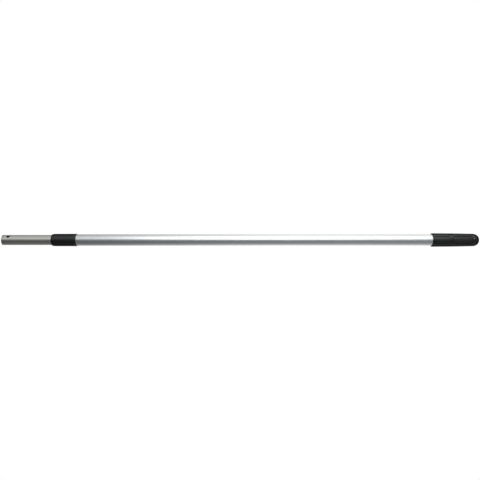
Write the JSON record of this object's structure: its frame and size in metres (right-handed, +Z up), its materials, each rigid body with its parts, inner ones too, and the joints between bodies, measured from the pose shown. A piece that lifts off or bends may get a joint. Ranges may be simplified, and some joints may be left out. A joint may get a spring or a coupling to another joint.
{
  "type": "telescopic boom pole",
  "caption": "Two-section telescopic aluminium boom pole with a cross-drilled tool tip, a slim black collar over an internal twist lock, and a black panelled hand grip with a domed end.",
  "frame": {"origin": "on the pole's axis, halfway along the closed pole, which is the centre of its bounding box", "axes": "+X from the drilled tool tip to the domed grip, along the pole; -Y the side seen from the front; +Z up"},
  "size_m": [1.0434, 0.0296, 0.0296],
  "materials": {
    "outer_aluminium": "satin silver anodised, drawn lengthwise",
    "inner_aluminium": "duller grey anodised, drawn lengthwise",
    "satin_black_plastic": "smooth satin black moulding",
    "grip_plastic": "satin black moulding",
    "grip_pad_rubber": "soft matt black inlay",
    "white_nylon": "natural nylon, satin",
    "grey_nylon": "grey nylon, satin",
    "zinc_steel": "bright zinc plated",
    "black_rubber": "plain black elastic band"
  },
  "bodies": {
    "outer_section": {"outer_tube": "outer_aluminium", "collar": "satin_black_plastic", "guide_bush": "white_nylon", "grip_body": "grip_plastic", "grip_pad_front_short": "grip_pad_rubber", "grip_pad_front_long": "grip_pad_rubber", "grip_pad_top_short": "grip_pad_rubber", "grip_pad_top_long": "grip_pad_rubber", "grip_pad_back_short": "grip_pad_rubber", "grip_pad_back_long": "grip_pad_rubber", "grip_pad_bottom_short": "grip_pad_rubber", "grip_pad_bottom_long": "grip_pad_rubber", "tube_end_plug": "grey_nylon"},
    "lock_carrier": {"expander_hub": "white_nylon", "shoe_band": "black_rubber"},
    "inner_section": {"inner_tube": "inner_aluminium", "anchor_plug": "grey_nylon", "anchor_pin": "zinc_steel", "lock_spindle": "zinc_steel", "thrust_washer": "zinc_steel", "retaining_clip": "zinc_steel"},
    "nut": {"cone_nut": "white_nylon"},
    "shoe_1": {"expander_shoe_1": "grey_nylon"},
    "shoe_2": {"expander_shoe_2": "grey_nylon"},
    "shoe_3": {"expander_shoe_3": "grey_nylon"}
  },
  "joints": [
    {"name": "telescope", "type": "slide", "parent": "outer_section", "child": "lock_carrier", "axis": [-1, 0, 0], "range_m": [0, 0.78]},
    {"name": "twist", "type": "hinge", "parent": "lock_carrier", "child": "inner_section", "pos_m": [0.41, 0, 0], "axis": [1, 0, 0], "range_deg": [0, 170]},
    {"name": "nut_travel", "type": "slide", "parent": "lock_carrier", "child": "nut", "axis": [-1, 0, 0], "range_m": [0, 0.0019]},
    {"name": "shoe_1_spread", "type": "slide", "parent": "lock_carrier", "child": "shoe_1", "axis": [-0.9659, 0.2588, 0], "range_m": [0, 0.00098]},
    {"name": "shoe_2_spread", "type": "slide", "parent": "lock_carrier", "child": "shoe_2", "axis": [-0.9659, -0.1294, 0.2241], "range_m": [0, 0.00098]},
    {"name": "shoe_3_spread", "type": "slide", "parent": "lock_carrier", "child": "shoe_3", "axis": [-0.9659, -0.1294, -0.2241], "range_m": [0, 0.00098]}
  ],
  "couplings": [
    {"joint": "nut_travel", "follows": "twist", "m_per_rad": 0.00063662},
    {"joint": "shoe_1_spread", "follows": "twist", "m_per_rad": 0.00032954},
    {"joint": "shoe_2_spread", "follows": "twist", "m_per_rad": 0.00032954},
    {"joint": "shoe_3_spread", "follows": "twist", "m_per_rad": 0.00032954}
  ]
}
